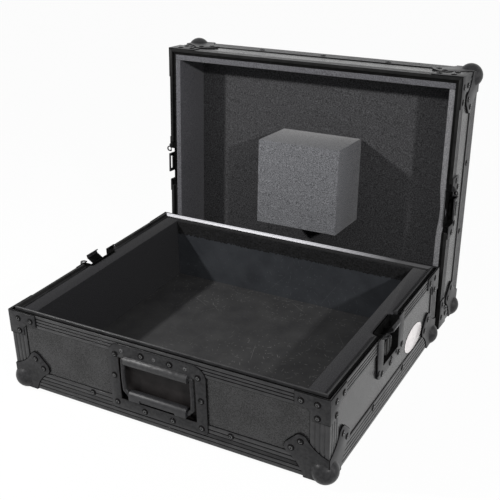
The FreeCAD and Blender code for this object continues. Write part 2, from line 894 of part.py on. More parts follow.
front = cross_panel(base_panel_top)
right = side_panel(base_panel_top)
right_cut = right.cut(dish_cut_out(recess_half, recess_low, base_height))
export_base(floor_panel(), "base_floor_panel")
export_base(front.cut(handle_cut_out()), "base_front_panel")
export_base(over_y(front), "base_rear_panel")
export_base(right_cut, "base_right_panel")
export_base(over_x(right_cut), "base_left_panel")
export_base(edge_angles(), "base_edge_angles")
export_base(corner_angles(base_height), "base_corner_angles")
export_rims(base_height, tongue_section, export_base, "base")
export_base(rim_brackets(base_height), "base_rim_brackets")
export_base(ball_corners(), "base_ball_corners")
inner_x = half_width - wall
export_base(tray_lining(), "base_floor_liner")
export_base(front_foam_sheet(), "base_front_foam")
export_base(rear_foam_strip(), "base_rear_foam")
export_base(right_foam(), "base_right_foam")
export_base(over_x(right_foam()), "base_left_foam")
bail = handle_bail()
export_base(handle_plate(), "handle_plate")
export_base(bail, "handle_bail")
export_base(handle_grip(bail), "handle_grip")
wing = latch_wing()
latch_parts = [(latch_dish(), "latch_dish"), (latch_hook(), "latch_hook")]
latch_parts += [(latch_spindle(), "latch_spindle"), (wing, "latch_wing_rear")]
latch_parts.append((over_y(wing), "latch_wing_front"))
for shape, name in latch_parts:
    export_base(shape, "right_" + name)
    export_base(over_x(shape), "left_" + name)
eye = padlock_eye(base_height, -eye_offset, eye_below_rim, -1)
export_base(Part.makeCompound([eye, over_x(eye)]), "base_padlock_eyes")
export_base(badge(), "side_badge")
rivets = corner_rivets(base_height) + handle_rivets()
rivets += edge_rivets(base_edge_rivet_height, False)
rivets += dish_rivets(latch_low + latch_rivet_rise, handle_sheet, latch_rivet_main_share,
                      latch_rivet_end_share, latch_rivet_end_rise)
for offset, height in latch_screw_places:
    one = rivet(on_right(-handle_sheet, offset, height), V(1, 0, 0), small_rivet_share)
    rivets += [one, over_x(one)]
export_base(Part.makeCompound(rivets), "base_rivets")

# Lid, its front wall the one it stands on

front = cross_panel(lid_panel_top)
right = side_panel(lid_panel_top)
keeper_low = lid_depth - keeper_opening_long
right_cut = right.cut(dish_cut_out(keeper_opening_half, keeper_low, lid_depth))
export_lid(floor_panel(), "lid_back_panel")
export_lid(front, "lid_lower_panel")
export_lid(over_y(front), "lid_upper_panel")
export_lid(right_cut, "lid_right_panel")
export_lid(over_x(right_cut), "lid_left_panel")
export_lid(edge_angles(), "lid_edge_angles")
export_lid(corner_angles(lid_depth), "lid_corner_angles")
export_rims(lid_depth, groove_section, export_lid, "lid")
export_lid(rim_brackets(lid_depth), "lid_rim_brackets")
export_lid(ball_corners(), "lid_ball_corners")
lining = wall + back_liner
foam_top = lid_depth - lid_foam_drop
export_lid(block(-inner_x, inner_x, wall, case_depth - wall, wall, lining), "lid_back_liner")
low_foam = block(-inner_x, inner_x, wall, wall + lid_foam, lining, foam_top)
export_lid(low_foam, "lid_lower_foam")
export_lid(over_y(low_foam), "lid_upper_foam")
side_start = wall + lid_foam + foam_gap
side_strip = block(inner_x - lid_foam, inner_x, side_start, case_depth - side_start,
                   lining, foam_top)
export_lid(side_strip, "lid_right_foam")
export_lid(over_x(side_strip), "lid_left_foam")
export_lid(block(-block_width / 2, block_width / 2, block_centre - block_height / 2,
                 block_centre + block_height / 2, lining, lining + block_depth),
           "lid_foam_block")
keeper_dish = dish(lid_depth - keeper_dish_long, lid_depth, keeper_opening_half, keeper_low,
                   keeper_depth, lid_panel_top)
export_lid(Part.makeCompound([keeper_dish, over_x(keeper_dish)]), "lid_keeper_dishes")
keeper = lid_keeper()
export_lid(Part.makeCompound([keeper, over_x(keeper)]), "lid_keepers")
eye = padlock_eye(lid_depth, eye_offset, lid_eye_below_rim, 1)
export_lid(Part.makeCompound([eye, over_x(eye)]), "lid_padlock_eyes")
rivets = corner_rivets(lid_depth)
rivets += edge_rivets(lid_edge_rivet_height, True)
rivets += dish_rivets(lid_depth - keeper_dish_long + keeper_foot / 2,
                      handle_sheet + keeper_sheet, keeper_rivet_main_share,
                      keeper_rivet_end_share, keeper_rivet_end_rise)
export_lid(Part.makeCompound(rivets), "lid_rivets")
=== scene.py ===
import bpy
import json
import math
import random
from mathutils import Matrix, Vector

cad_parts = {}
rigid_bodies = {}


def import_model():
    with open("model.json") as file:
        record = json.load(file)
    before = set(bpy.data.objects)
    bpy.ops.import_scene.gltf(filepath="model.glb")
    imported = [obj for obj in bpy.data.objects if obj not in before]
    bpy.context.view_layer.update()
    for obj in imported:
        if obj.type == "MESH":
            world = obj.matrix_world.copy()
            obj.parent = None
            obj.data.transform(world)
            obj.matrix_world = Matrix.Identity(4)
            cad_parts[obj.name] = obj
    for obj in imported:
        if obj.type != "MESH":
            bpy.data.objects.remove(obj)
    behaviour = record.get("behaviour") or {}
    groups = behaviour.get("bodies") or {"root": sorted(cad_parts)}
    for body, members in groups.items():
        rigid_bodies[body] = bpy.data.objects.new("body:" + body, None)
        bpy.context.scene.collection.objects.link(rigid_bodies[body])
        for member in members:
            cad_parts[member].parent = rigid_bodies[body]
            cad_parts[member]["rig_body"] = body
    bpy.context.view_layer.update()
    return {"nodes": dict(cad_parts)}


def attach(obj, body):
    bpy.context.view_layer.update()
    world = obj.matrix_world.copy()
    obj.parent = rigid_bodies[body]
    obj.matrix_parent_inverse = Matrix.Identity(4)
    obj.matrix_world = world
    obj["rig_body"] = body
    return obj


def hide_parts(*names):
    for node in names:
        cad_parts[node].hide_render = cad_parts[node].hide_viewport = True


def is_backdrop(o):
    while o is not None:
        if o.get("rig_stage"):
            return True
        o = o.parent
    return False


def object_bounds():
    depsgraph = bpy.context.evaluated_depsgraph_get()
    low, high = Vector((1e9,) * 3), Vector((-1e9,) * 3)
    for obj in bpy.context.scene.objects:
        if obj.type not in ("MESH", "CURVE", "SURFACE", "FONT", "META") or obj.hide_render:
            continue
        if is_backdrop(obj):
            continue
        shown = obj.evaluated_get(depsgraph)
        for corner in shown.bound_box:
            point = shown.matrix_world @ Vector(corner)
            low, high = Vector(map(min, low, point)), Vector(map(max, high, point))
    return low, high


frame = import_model()
scene = bpy.context.scene
scene.view_settings.view_transform = "Standard"
bpy.ops.object.select_all(action="DESELECT")

# Viewpoint: a little above and to the right of the front handle, as a
# photographer stands in front of an open case on the floor.
eye = Vector((0.64399, -1.152545, 0.786511))
yaw, pitch, roll = -0.51374, 0.43450, -0.02272
forward = Vector((math.sin(yaw) * math.cos(pitch), math.cos(yaw) * math.cos(pitch),
                  -math.sin(pitch)))
level_right = Vector((math.cos(yaw), -math.sin(yaw), 0))
level_up = level_right.cross(forward)
right = level_right * math.cos(roll) + level_up * math.sin(roll)
up = level_up * math.cos(roll) - level_right * math.sin(roll)
bpy.ops.object.camera_add(location=eye)
camera = bpy.context.object
camera.matrix_world = Matrix((
    (right.x, up.x, -forward.x, eye.x),
    (right.y, up.y, -forward.y, eye.y),
    (right.z, up.z, -forward.z, eye.z),
    (0, 0, 0, 1)))
camera.data.sensor_width = 36.0
camera.data.lens = 64.68
scene.camera = camera

# Studio: a white ground under a white surround, and two small lamps high in front,
# one at the left and one further off at the right, whose shadows cross in the case.
# A broad dim panel far off at the right fills the sides. Rays from the camera and
# off a gloss see plain white; other rays find a dim fill.


def combine(tree, operation, first, second):
    step = tree.nodes.new("ShaderNodeMath")
    step.operation = operation
    tree.links.new(first, step.inputs[0])
    if isinstance(second, float):
        step.inputs[1].default_value = second
    else:
        tree.links.new(second, step.inputs[1])
    return step.outputs[0]


def white_share(tree, lit, seen, share):
    # Mixes the seen shader over the lit one for camera, gloss and glass rays
    ray = tree.nodes.new("ShaderNodeLightPath")
    direct = combine(tree, "MAXIMUM", ray.outputs["Is Camera Ray"], ray.outputs["Is Glossy Ray"])
    direct = combine(tree, "MAXIMUM", direct, ray.outputs["Is Transmission Ray"])
    mix = tree.nodes.new("ShaderNodeMixShader")
    tree.links.new(combine(tree, "MULTIPLY", direct, share), mix.inputs[0])
    tree.links.new(lit, mix.inputs[1])
    tree.links.new(seen, mix.inputs[2])
    return mix.outputs[0]


world = bpy.data.worlds.new("studio")
scene.world = world
world.use_nodes = True
sky = world.node_tree
sky.nodes.clear()
sky_out = sky.nodes.new("ShaderNodeOutputWorld")


def glow_of(tree, kind, colour, strength):
    glow = tree.nodes.new(kind)
    glow.inputs["Color"].default_value = (*colour, 1)
    glow.inputs["Strength"].default_value = strength
    return glow.outputs[0]


sky_seen = glow_of(sky, "ShaderNodeBackground", (1, 1, 1), 1.0)
sky_fill = glow_of(sky, "ShaderNodeBackground", (0.95, 0.97, 1), 0.16)
sky.links.new(white_share(sky, sky_fill, sky_seen, 1.0), sky_out.inputs[0])

floor_size, floor_white = 16, 0.965
bpy.ops.mesh.primitive_plane_add(size=floor_size, location=(0, 0, 0))
floor = bpy.context.object
floor.name = "studio_floor"
floor_paint = bpy.data.materials.new("floor_paint")
floor_paint.use_nodes = True
ground = floor_paint.node_tree
ground_shader = ground.nodes["Principled BSDF"]
ground_shader.inputs["Base Color"].default_value = (0.8, 0.8, 0.8, 1)
ground_shader.inputs["Roughness"].default_value = 0.9
ground_shader.inputs["Specular IOR Level"].default_value = 0.1
ground_white = glow_of(ground, "ShaderNodeEmission", (1, 1, 1), 1.0)
ground.links.new(white_share(ground, ground_shader.outputs[0], ground_white, floor_white),
                 ground.nodes["Material Output"].inputs["Surface"])
floor.data.materials.append(floor_paint)
floor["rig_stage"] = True


aim_at = Vector((0, 0.1, 0.15))


def hang_lamp(name, place, width, watts, colour):
    bpy.ops.object.light_add(type="AREA", location=place)
    lamp = bpy.context.object
    lamp.name = name
    lamp.data.shape = "DISK"
    lamp.data.size = width
    lamp.data.energy = watts
    lamp.data.color = colour
    aim = aim_at - Vector(place)
    lamp.rotation_euler = aim.to_track_quat("-Z", "Y").to_euler()


hang_lamp("left_lamp", (-0.753, -0.684, 0.864), 0.07, 14, (1, 0.99, 0.98))
hang_lamp("right_lamp", (1.458, -1.05, 1.067), 0.09, 25, (1, 0.99, 0.98))
hang_lamp("right_fill", (3.2, 0.25, 0.9), 1.6, 19, (1, 0.98, 0.98))

# Wall panels: plywood with a black phenolic laminate, pressed with a fine
# pebble grain. Each drops into the grooves of the aluminium edges.


def coordinates(tree):
    return tree.nodes.new("ShaderNodeTexCoord").outputs["Object"]


def finish_of(name, colour, roughness, specular=0.5):
    material = bpy.data.materials.new(name)
    material.use_nodes = True
    shader = material.node_tree.nodes["Principled BSDF"]
    shader.inputs["Base Color"].default_value = (*colour, 1)
    shader.inputs["Roughness"].default_value = roughness
    shader.inputs["Specular IOR Level"].default_value = specular
    return material, material.node_tree, shader


def grain(tree, scale, detail):
    noise = tree.nodes.new("ShaderNodeTexNoise")
    noise.inputs["Scale"].default_value = scale
    noise.inputs["Detail"].default_value = detail
    tree.links.new(coordinates(tree), noise.inputs["Vector"])
    return noise.outputs["Fac"]


def spread(tree, fac, low, high, start=0.3, end=0.7):
    ramp = tree.nodes.new("ShaderNodeMapRange")
    ramp.inputs["From Min"].default_value = start
    ramp.inputs["From Max"].default_value = end
    ramp.inputs["To Min"].default_value = low
    ramp.inputs["To Max"].default_value = high
    tree.links.new(fac, ramp.inputs["Value"])
    return ramp.outputs["Result"]


def tint(tree, fac, shader, dark, light, start=0.3, end=0.7):
    ramp = tree.nodes.new("ShaderNodeValToRGB")
    ramp.color_ramp.elements[0].position = start
    ramp.color_ramp.elements[0].color = (*dark, 1)
    ramp.color_ramp.elements[1].position = end
    ramp.color_ramp.elements[1].color = (*light, 1)
    tree.links.new(fac, ramp.inputs["Fac"])
    tree.links.new(ramp.outputs["Color"], shader.inputs["Base Color"])
    return ramp


def press_in(tree, fac, shader, depth, strength):
    bump = tree.nodes.new("ShaderNodeBump")
    bump.inputs["Strength"].default_value = strength
    bump.inputs["Distance"].default_value = depth
    tree.links.new(fac, bump.inputs["Height"])
    tree.links.new(bump.outputs["Normal"], shader.inputs["Normal"])


laminate, tree, shader = finish_of("black_laminate", (0.02, 0.02, 0.021), 0.22, 0.29)
pebble = grain(tree, 620, 3)
cloud = grain(tree, 22, 5)
pebble_share = 0.7
blend = combine(tree, "ADD", combine(tree, "MULTIPLY", pebble, pebble_share),
                combine(tree, "MULTIPLY", cloud, 1 - pebble_share))
tint(tree, blend, shader, (0.006, 0.006, 0.006), (0.035, 0.035, 0.036), 0.40, 0.60)
press_in(tree, pebble, shader, 0.0006, 0.32)
tree.links.new(spread(tree, cloud, 0.17, 0.28), shader.inputs["Roughness"])


def cover(piece, material):
    piece.data.materials.clear()
    piece.data.materials.append(material)


for node in frame["nodes"]:
    if node.endswith("_panel"):
        cover(frame["nodes"][node], laminate)

# Aluminium edges: ribbed angles along the edges and up the corners, and the rim
# extrusions, all black anodised with a fine draw grain along their length.
profile, tree, shader = finish_of("black_anodised", (0.023, 0.023, 0.024), 0.36, 0.31)
tint(tree, grain(tree, 70, 6), shader, (0.018, 0.018, 0.019), (0.032, 0.032, 0.033), 0.35, 0.68)
press_in(tree, grain(tree, 900, 2), shader, 0.00004, 0.10)
tree.links.new(spread(tree, grain(tree, 40, 4), 0.32, 0.40), shader.inputs["Roughness"])


def pick(piece, kind, wanted):
    # Selects only the wanted faces or edges, and stays in edit mode
    bpy.ops.object.mode_set(mode="EDIT")
    bpy.ops.mesh.select_mode(type=kind)
    bpy.ops.mesh.select_all(action="DESELECT")
    bpy.ops.object.mode_set(mode="OBJECT")
    for part in piece.data.polygons if kind == "FACE" else piece.data.edges:
        part.select = wanted(part)
    bpy.ops.object.mode_set(mode="EDIT")


weld, flat_within = 0.000002, math.radians(0.5)
sharp_from, smooth_to = math.radians(30), math.radians(40)


def copy_of(node, name):
    # The CAD mesh copied, with its triangles joined up into plain faces
    source = frame["nodes"][node]
    piece = source.copy()
    piece.data = source.data.copy()
    piece.name = name
    piece.parent = None
    for key in list(piece.keys()):
        del piece[key]
    scene.collection.objects.link(piece)
    piece.hide_viewport = False
    piece.hide_render = False
    piece.hide_set(False)
    bpy.ops.object.select_all(action="DESELECT")
    piece.select_set(True)
    bpy.context.view_layer.objects.active = piece
    bpy.ops.object.mode_set(mode="EDIT")
    bpy.ops.mesh.select_all(action="SELECT")
    bpy.ops.mesh.remove_doubles(threshold=weld)
    bpy.ops.mesh.dissolve_limited(angle_limit=flat_within)
    bpy.ops.object.mode_set(mode="OBJECT")
    return piece


def break_edges(node, width, material, segments=2, piece=None):
    # A copy of the node with every sharp edge eased
    if piece is None:
        piece = copy_of(node, node + "_eased")
    bevel = piece.modifiers.new("eased", "BEVEL")
    bevel.width = width
    bevel.segments = segments
    bevel.limit_method = "ANGLE"
    bevel.angle_limit = sharp_from
    bpy.ops.object.modifier_apply(modifier=bevel.name)
    bpy.ops.object.shade_smooth_by_angle(angle=smooth_to)
    cover(piece, material)
    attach(piece, frame["nodes"][node]["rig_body"])
    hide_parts(node)
    return piece


# The case's own axes: x from its middle, y from its front, z from the base's underside
# or the lid's back; base_place and lid_place stand base and lid in the room
case_wide, case_deep, base_tall, lid_tall = 0.533, 0.4255, 0.131, 0.098
base_place = Matrix.Translation((-0.001, -0.2849638, 0.0075))
lid_lean = math.radians(4.5)
lid_turn = math.radians(0.7)
lid_shift = Vector((0, math.cos(lid_lean), -math.sin(lid_lean))) * lid_tall
lid_place = (Matrix.Translation((0.001, 0.1535043, 0.0162783))
             @ Matrix.Rotation(lid_turn, 4, "Z") @ Matrix.Translation(lid_shift)
             @ Matrix.Rotation(math.pi / 2 - lid_lean, 4, "X"))

# Painted shade: near black for the rib floors, the rim channels, the flank below its lit part
# and the lid's step
groove_painted_shade, tree, shader = finish_of("groove_painted_shade", (0.004, 0.004, 0.004), 0.7, 0.04)
tint(tree, grain(tree, 200, 2), shader, (0.002, 0.002, 0.002), (0.006, 0.006, 0.006))
# Painted shade: a darker lip for the lid, and for the base's side slopes and left tongue that
# face away from the lamps
lip_painted_shade, tree, shader = finish_of("lip_painted_shade", (0.008, 0.008, 0.008), 0.4, 0.1)
tint(tree, grain(tree, 90, 4), shader, (0.005, 0.005, 0.005), (0.012, 0.012, 0.012))
# Painted highlight: a pale strip on the rear bar's slope
slope_painted_highlight, tree, shader = finish_of("slope_painted_highlight", (0.6, 0.6, 0.62), 0.4, 0.5)


def along_axis(tree, axis):
    split = tree.nodes.new("ShaderNodeSeparateXYZ")
    tree.links.new(coordinates(tree), split.inputs["Vector"])
    return split.outputs[axis]


# Painted highlight: a pale strip with fine dark lines along it, fading out towards the right
slope_low, line_apart, line_core, line_edge = 0.1374, 0.0016, 0.00015, 0.00045
highlight_from, highlight_to = 0.02, 0.20
off_line = combine(tree, "PINGPONG", combine(tree, "SUBTRACT", along_axis(tree, "Z"), slope_low),
                   line_apart / 2)
bright = combine(tree, "MULTIPLY", spread(tree, off_line, 0.25, 1.0, line_core, line_edge),
                 spread(tree, along_axis(tree, "X"), 1.0, 0.0, highlight_from, highlight_to))
tint(tree, bright, shader, (0.03, 0.03, 0.032), (0.66, 0.66, 0.70), 0.0, 1.0)

# Measures of the profiles, and the places on a bar of its painted shades and painted highlight
hair, facing, slanting, leaning = 0.0001, 0.9, 0.6, 0.1
groove_deep, rim_leg, bar_edge = 0.0006, 0.021, 0.00025
channel_deep, channel_in, tongue_in = 0.004, 0.0015, 0.006
tongue_tall, tongue_edge, on_tongue = 0.003, 0.0005, 0.001
lid_lip, lid_step, flank_lit = 0.0055, 0.0036, 0.0012
in_groove_shade, in_lip_shade, in_slope_highlight = 1, 2, 3


def face_at(face, home):
    # A face's middle and normal in the case's own axes, and its depth in from a wall
    at = home @ face.center
    normal = home.to_3x3() @ face.normal
    return at, normal, min(case_wide / 2 - abs(at.x), at.y, case_deep - at.y)


def paint_base_rim_light_and_shade(face, at, normal, inward, on_left):
    # Painted shade: black channel and front flank, dark slopes at the sides and the left
    # tongue's top; a painted highlight on the rear bar's slope
    tongue_top = normal.z > facing and at.z > base_tall + on_tongue
    sloping = normal.z > slanting
    past = hair if abs(normal.x) > facing else -tongue_edge
    if channel_in - hair < inward < tongue_in + past:
        face.material_index = in_groove_shade
    if at.y > case_deep / 2 and (tongue_top or sloping and normal.y < -slanting):
        face.material_index = in_slope_highlight
    if at.y < rim_leg and at.z < base_tall - flank_lit and abs(inward - tongue_in) < hair:
        face.material_index = in_groove_shade
    if sloping and normal.x * at.x < -leaning and inward > tongue_in:
        face.material_index = in_lip_shade
    if on_left and at.x < rim_leg - case_wide / 2 and tongue_top:
        face.material_index = in_lip_shade


def paint_lid_rim_shade(face, at, normal, inward):
    # Painted shade: a dark lip round a black step
    if at.z > lid_tall - lid_step - 2 * hair and normal.z > facing:
        face.material_index = in_groove_shade if inward > lid_lip else in_lip_shade
    if at.z > lid_tall - lid_step and abs(inward - lid_lip) < 2 * hair:
        face.material_index = in_groove_shade


def shade_and_highlight_bar(bar, home, on_base, on_left):
    # Painted shade in the ribs' floors, and the rim's painted shade and painted highlight; the
    # base's bars are cut at the height from which the tongue's flank catches the light
    for finish in (groove_painted_shade, lip_painted_shade, slope_painted_highlight):
        bar.data.materials.append(finish)
    if on_base:
        bpy.ops.object.mode_set(mode="EDIT")
        bpy.ops.mesh.select_all(action="SELECT")
        bpy.ops.mesh.bisect(plane_co=home.inverted() @ Vector((0, 0, base_tall - flank_lit)),
                            plane_no=(0, 0, 1))
        bpy.ops.object.mode_set(mode="OBJECT")
    for face in bar.data.polygons:
        at, normal, inward = face_at(face, home)
        depths = (case_wide / 2 - abs(at.x), at.y, case_deep - at.y, at.z)
        if any(2 * hair < deep < groove_deep + hair for deep in depths):
            face.material_index = in_groove_shade
        if not on_base:
            paint_lid_rim_shade(face, at, normal, inward)
        elif at.z > base_tall - channel_deep - 3 * hair:
            paint_base_rim_light_and_shade(face, at, normal, inward, on_left)


tongue_level = (base_place @ Vector((0, 0, base_tall + tongue_tall))).z
for node in sorted(frame["nodes"]):
    if "_angles" in node or "_rim_" in node and "brackets" not in node:
        bar = copy_of(node, node + "_eased")
        if node.startswith("base_rim"):
            pick(bar, "EDGE", lambda edge: all(
                bar.data.vertices[i].co.z > tongue_level - hair for i in edge.vertices))
            bpy.ops.mesh.bevel(offset=tongue_edge, segments=3)
            bpy.ops.object.mode_set(mode="OBJECT")
        break_edges(node, bar_edge, profile, piece=bar)
        if "corner" not in node:
            on_base = node.startswith("base")
            home = (base_place if on_base else lid_place).inverted()
            shade_and_highlight_bar(bar, home, on_base, "_left" in node)

# Painted shade in the gaps: the laminate stops short of every aluminium lip, and a thin black
# strip laid round each wall panel stands for the shade in that gap.
lip, edge_leg, corner_leg = 0.0015, 0.032, 0.028
gap_wide, gap_proud, gap_sunk, notch_half, bar_round = 0.0010, 0.0004, 0.0005, 0.042, 0.12
painted_shade_black, tree, shader = finish_of("painted_shade_black", (0.003, 0.003, 0.003), 0.9, 0.0)
tint(tree, grain(tree, 300, 2), shader, (0.002, 0.002, 0.002), (0.005, 0.005, 0.005))


def bar_between(low, high, place):
    # A bar with broken edges between two corners, then put in its place
    bpy.ops.object.select_all(action="DESELECT")
    bpy.ops.mesh.primitive_cube_add(size=1)
    bar = bpy.context.object
    bpy.ops.object.mode_set(mode="EDIT")
    bpy.ops.mesh.bevel(offset=bar_round, segments=1)
    bpy.ops.object.mode_set(mode="OBJECT")
    size = [abs(b - a) for a, b in zip(low, high)]
    middle = [(a + b) / 2 for a, b in zip(low, high)]
    bar.data.transform(place @ Matrix.Translation(middle) @ Matrix.Diagonal((*size, 1)))
    return bar


def join_up(bars, name, body):
    bpy.ops.object.select_all(action="DESELECT")
    for bar in bars:
        bar.select_set(True)
    bpy.context.view_layer.objects.active = bars[0]
    bpy.ops.object.join()
    piece = bpy.context.object
    piece.name = name
    cover(piece, painted_shade_black)
    bpy.ops.object.mode_set(mode="EDIT")
    bpy.ops.mesh.select_all(action="SELECT")
    bpy.ops.mesh.normals_make_consistent(inside=False)
    bpy.ops.object.mode_set(mode="OBJECT")
    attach(piece, body)


def wall_gaps(tall, place, name, body):
    bars = []
    half = case_wide / 2
    low, high = edge_leg, tall - rim_leg
    for outer, inward in ((0, 1), (case_deep, -1)):
        face = outer + inward * lip
        out = face - inward * gap_proud
        deep = face + inward * gap_sunk
        end = half - corner_leg
        for z in (low, high - gap_wide):
            bars.append(bar_between((-end, out, z), (end, deep, z + gap_wide), place))
        for x in (-end, end - gap_wide):
            bars.append(bar_between((x, out, low), (x + gap_wide, deep, high), place))
    for side in (-1, 1):
        face = side * (half - lip)
        out = face + side * gap_proud
        deep = face - side * gap_sunk
        front, rear = corner_leg, case_deep - corner_leg
        bars.append(bar_between((deep, front, low), (out, rear, low + gap_wide), place))
        notch = (case_deep / 2 - notch_half, case_deep / 2 + notch_half)
        for y0, y1 in ((front, notch[0]), (notch[1], rear)):
            bars.append(bar_between((deep, y0, high - gap_wide), (out, y1, high), place))
        for y in (front, rear - gap_wide):
            bars.append(bar_between((deep, y, low), (out, y + gap_wide, high), place))
    join_up(bars, name, body)


def back_gaps(place, name, body):
    # Round the floor of the tray or the back of the lid, which lies under the legs
    bars = []
    half = case_wide / 2 - edge_leg
    out, deep = lip - gap_proud, lip + gap_sunk
    for y in (edge_leg, case_deep - edge_leg - gap_wide):
        bars.append(bar_between((-half, y, out), (half, y + gap_wide, deep), place))
    for x in (-half, half - gap_wide):
        bars.append(bar_between((x, edge_leg, out),
                                (x + gap_wide, case_deep - edge_leg, deep), place))
    join_up(bars, name, body)


wall_gaps(base_tall, base_place, "base_wall_gaps", "base")
wall_gaps(lid_tall, lid_place, "lid_wall_gaps", "lid")
back_gaps(base_place, "base_floor_gaps", "base")
back_gaps(lid_place, "lid_back_gaps", "lid")

# Steel fittings: rim corner brackets, ball corners, the handle plate with its
# pan, latch dishes, keepers and padlock eyes, pressed and powder coated black.
steel, tree, shader = finish_of("black_powder_coat", (0.016, 0.016, 0.017), 0.36, 0.17)
tint(tree, grain(tree, 240, 4), shader, (0.010, 0.010, 0.011), (0.026, 0.026, 0.027))
press_in(tree, grain(tree, 1100, 2), shader, 0.00012, 0.4)
tree.links.new(spread(tree, grain(tree, 30, 4), 0.30, 0.44), shader.inputs["Roughness"])

bracket_edge, plate_edge, latch_edge = 0.0004, 0.0003, 0.0002
for node in ("base_rim_brackets", "lid_rim_brackets", "base_ball_corners", "lid_ball_corners"):
    break_edges(node, bracket_edge, steel)
for node in ("lid_keepers", "base_padlock_eyes", "lid_padlock_eyes", "handle_bail"):
    break_edges(node, plate_edge, steel)

# The handle's hood is pressed over the pivot and shows the press's waves
hood_wavy, tree, shader = finish_of("hood_wavy", (0.016, 0.016, 0.017), 0.48, 0.4)
tint(tree, grain(tree, 240, 4), shader, (0.008, 0.008, 0.009), (0.022, 0.022, 0.023))
press_in(tree, grain(tree, 55, 2), shader, 0.0040, 0.6)
# The pan inside the plate is painted darker than the plate: painted shade in its recess
pan_painted_shade, tree, shader = finish_of("pan_painted_shade", (0.010, 0.009, 0.009), 0.5, 0.12)
tint(tree, grain(tree, 60, 5), shader, (0.007, 0.006, 0.006), (0.017, 0.015, 0.015))
# The pan's lower edge lies 1.4 mm lower than in the solids, so that the pan, painted
# dark as painted shade in the recess, shows as a dark line under the grip
plate = copy_of("handle_plate", "handle_plate_eased")
opening_low, pan_under, pan_lower = 0.0335, 0.0323, 0.0014
for vertex in plate.data.vertices:
    high = (base_place.inverted() @ vertex.co).z
    if min(abs(high - opening_low), abs(high - pan_under)) < 2 * hair:
        vertex.co.z -= pan_lower
break_edges("handle_plate", plate_edge, steel, piece=plate)
plate.data.materials.append(hood_wavy)
plate.data.materials.append(pan_painted_shade)
hood_proud, pan_sunk = 0.0018, 0.002
in_hood, in_pan = 1, 2
for face in plate.data.polygons:
    at = face_at(face, base_place.inverted())[0]
    if at.y < -hood_proud:
        face.material_index = in_hood
    if at.y > pan_sunk:
        face.material_index = in_pan

# Painted shade inside the wall: the latch and keeper dishes, the hooks' inner parts, the
# spindles and the wings are painted near black where they lie unlit
recess_painted_shade, tree, shader = finish_of("recess_painted_shade", (0.003, 0.003, 0.003), 0.8, 0.03)
tint(tree, grain(tree, 200, 2), shader, (0.0015, 0.0015, 0.0015), (0.004, 0.004, 0.004))
latch_painted_shade, tree, shader = finish_of("latch_painted_shade", (0.006, 0.006, 0.006), 0.4, 0.12)
tint(tree, grain(tree, 300, 3), shader, (0.004, 0.004, 0.004), (0.009, 0.009, 0.009))


def paint_recess_shade(piece, home, from_deep):
    # Paints shade on every face that lies deeper in from the wall than that
    piece.data.materials.append(recess_painted_shade)
    for face in piece.data.polygons:
        if face_at(face, home)[2] > from_deep:
            face.material_index = 1


latch_low, latch_half, dish_round, flange_fill = 0.062, 0.052, 0.016, 0.0006
dish_shade_from, hook_shade_from, keeper_shade_from = 0.0020, 0.003, 0.0003


def round_flange(dish):
    # The flange's lower corners swing round their end rivets, and it reaches nearly
    # down to the laminate, which lies lower than the edges
    home = base_place.inverted()
    low = latch_low + dish_round
    for vertex in dish.data.vertices:
        at = home @ vertex.co
        if abs(case_wide / 2 - abs(at.x)) < hair and at.z < base_tall - rim_leg:
            at.x = math.copysign(case_wide / 2 - flange_fill, at.x)
        along = at.y - case_deep / 2
        reach = abs(along) - (latch_half - dish_round)
        far = math.hypot(reach, at.z - low)
        if at.z < low and reach > 0 and far > dish_round:
            share = dish_round / far
            at.y = case_deep / 2 + math.copysign(latch_half - dish_round + reach * share, along)
            at.z = low + (at.z - low) * share
        vertex.co = base_place @ at


for side in ("right", "left"):
    flange = copy_of(side + "_latch_dish", side + "_latch_dish_eased")
    round_flange(flange)
    break_edges(side + "_latch_dish", plate_edge, steel, piece=flange)
    paint_recess_shade(flange, base_place.inverted(), dish_shade_from)
    hook = break_edges(side + "_latch_hook", plate_edge, steel)
    paint_recess_shade(hook, base_place.inverted(), hook_shade_from)
    for piece in ("spindle", "wing_rear", "wing_front"):
        break_edges(side + "_latch_" + piece, latch_edge, latch_painted_shade)
keepers = break_edges("lid_keeper_dishes", plate_edge, steel)
paint_recess_shade(keepers, lid_place.inverted(), keeper_shade_from)


half_up = 0.05


def middle_and_axes(place):
    # The middle of base or lid where it stands, and its own three axes
    turned = place.to_3x3()
    return (place @ Vector((0, case_deep / 2, half_up)),
            [(turned @ axis).normalized() for axis in Matrix.Identity(3)])


def thicken(piece, thick):
    layer = piece.modifiers.new("thick", "SOLIDIFY")
    layer.thickness = thick
    layer.offset = -1
    bpy.ops.object.modifier_apply(modifier=layer.name)


flat_on, face_large, far_out, seat_thick = 0.9995, 0.0002, 0.05, 0.0008


def painted_shade_seat(node, place, grow, sunk):
    # Painted shade round a fitting: a black copy of its flat faces, a little larger and sunk in
    sheet = copy_of(node, node + "_seat")
    middle, axes = middle_and_axes(place)

    def outward(face):
        side = max(abs(face.normal.dot(axis)) for axis in axes)
        far = face.normal.dot(face.center - middle)
        return side > flat_on and face.area > face_large and far > far_out
    pick(sheet, "FACE", outward)
    bpy.ops.mesh.select_all(action="INVERT")
    bpy.ops.mesh.delete(type="FACE")
    bpy.ops.object.mode_set(mode="OBJECT")
    mesh = sheet.data
    for face in mesh.polygons:
        centre = face.center.copy()
        normal = face.normal.copy()
        for i in face.vertices:
            point = mesh.vertices[i].co
            arm = point - centre
            mesh.vertices[i].co = point + arm.normalized() * grow - normal * sunk
    thicken(sheet, seat_thick)
    cover(sheet, painted_shade_black)
    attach(sheet, frame["nodes"][node]["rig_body"])
    return sheet


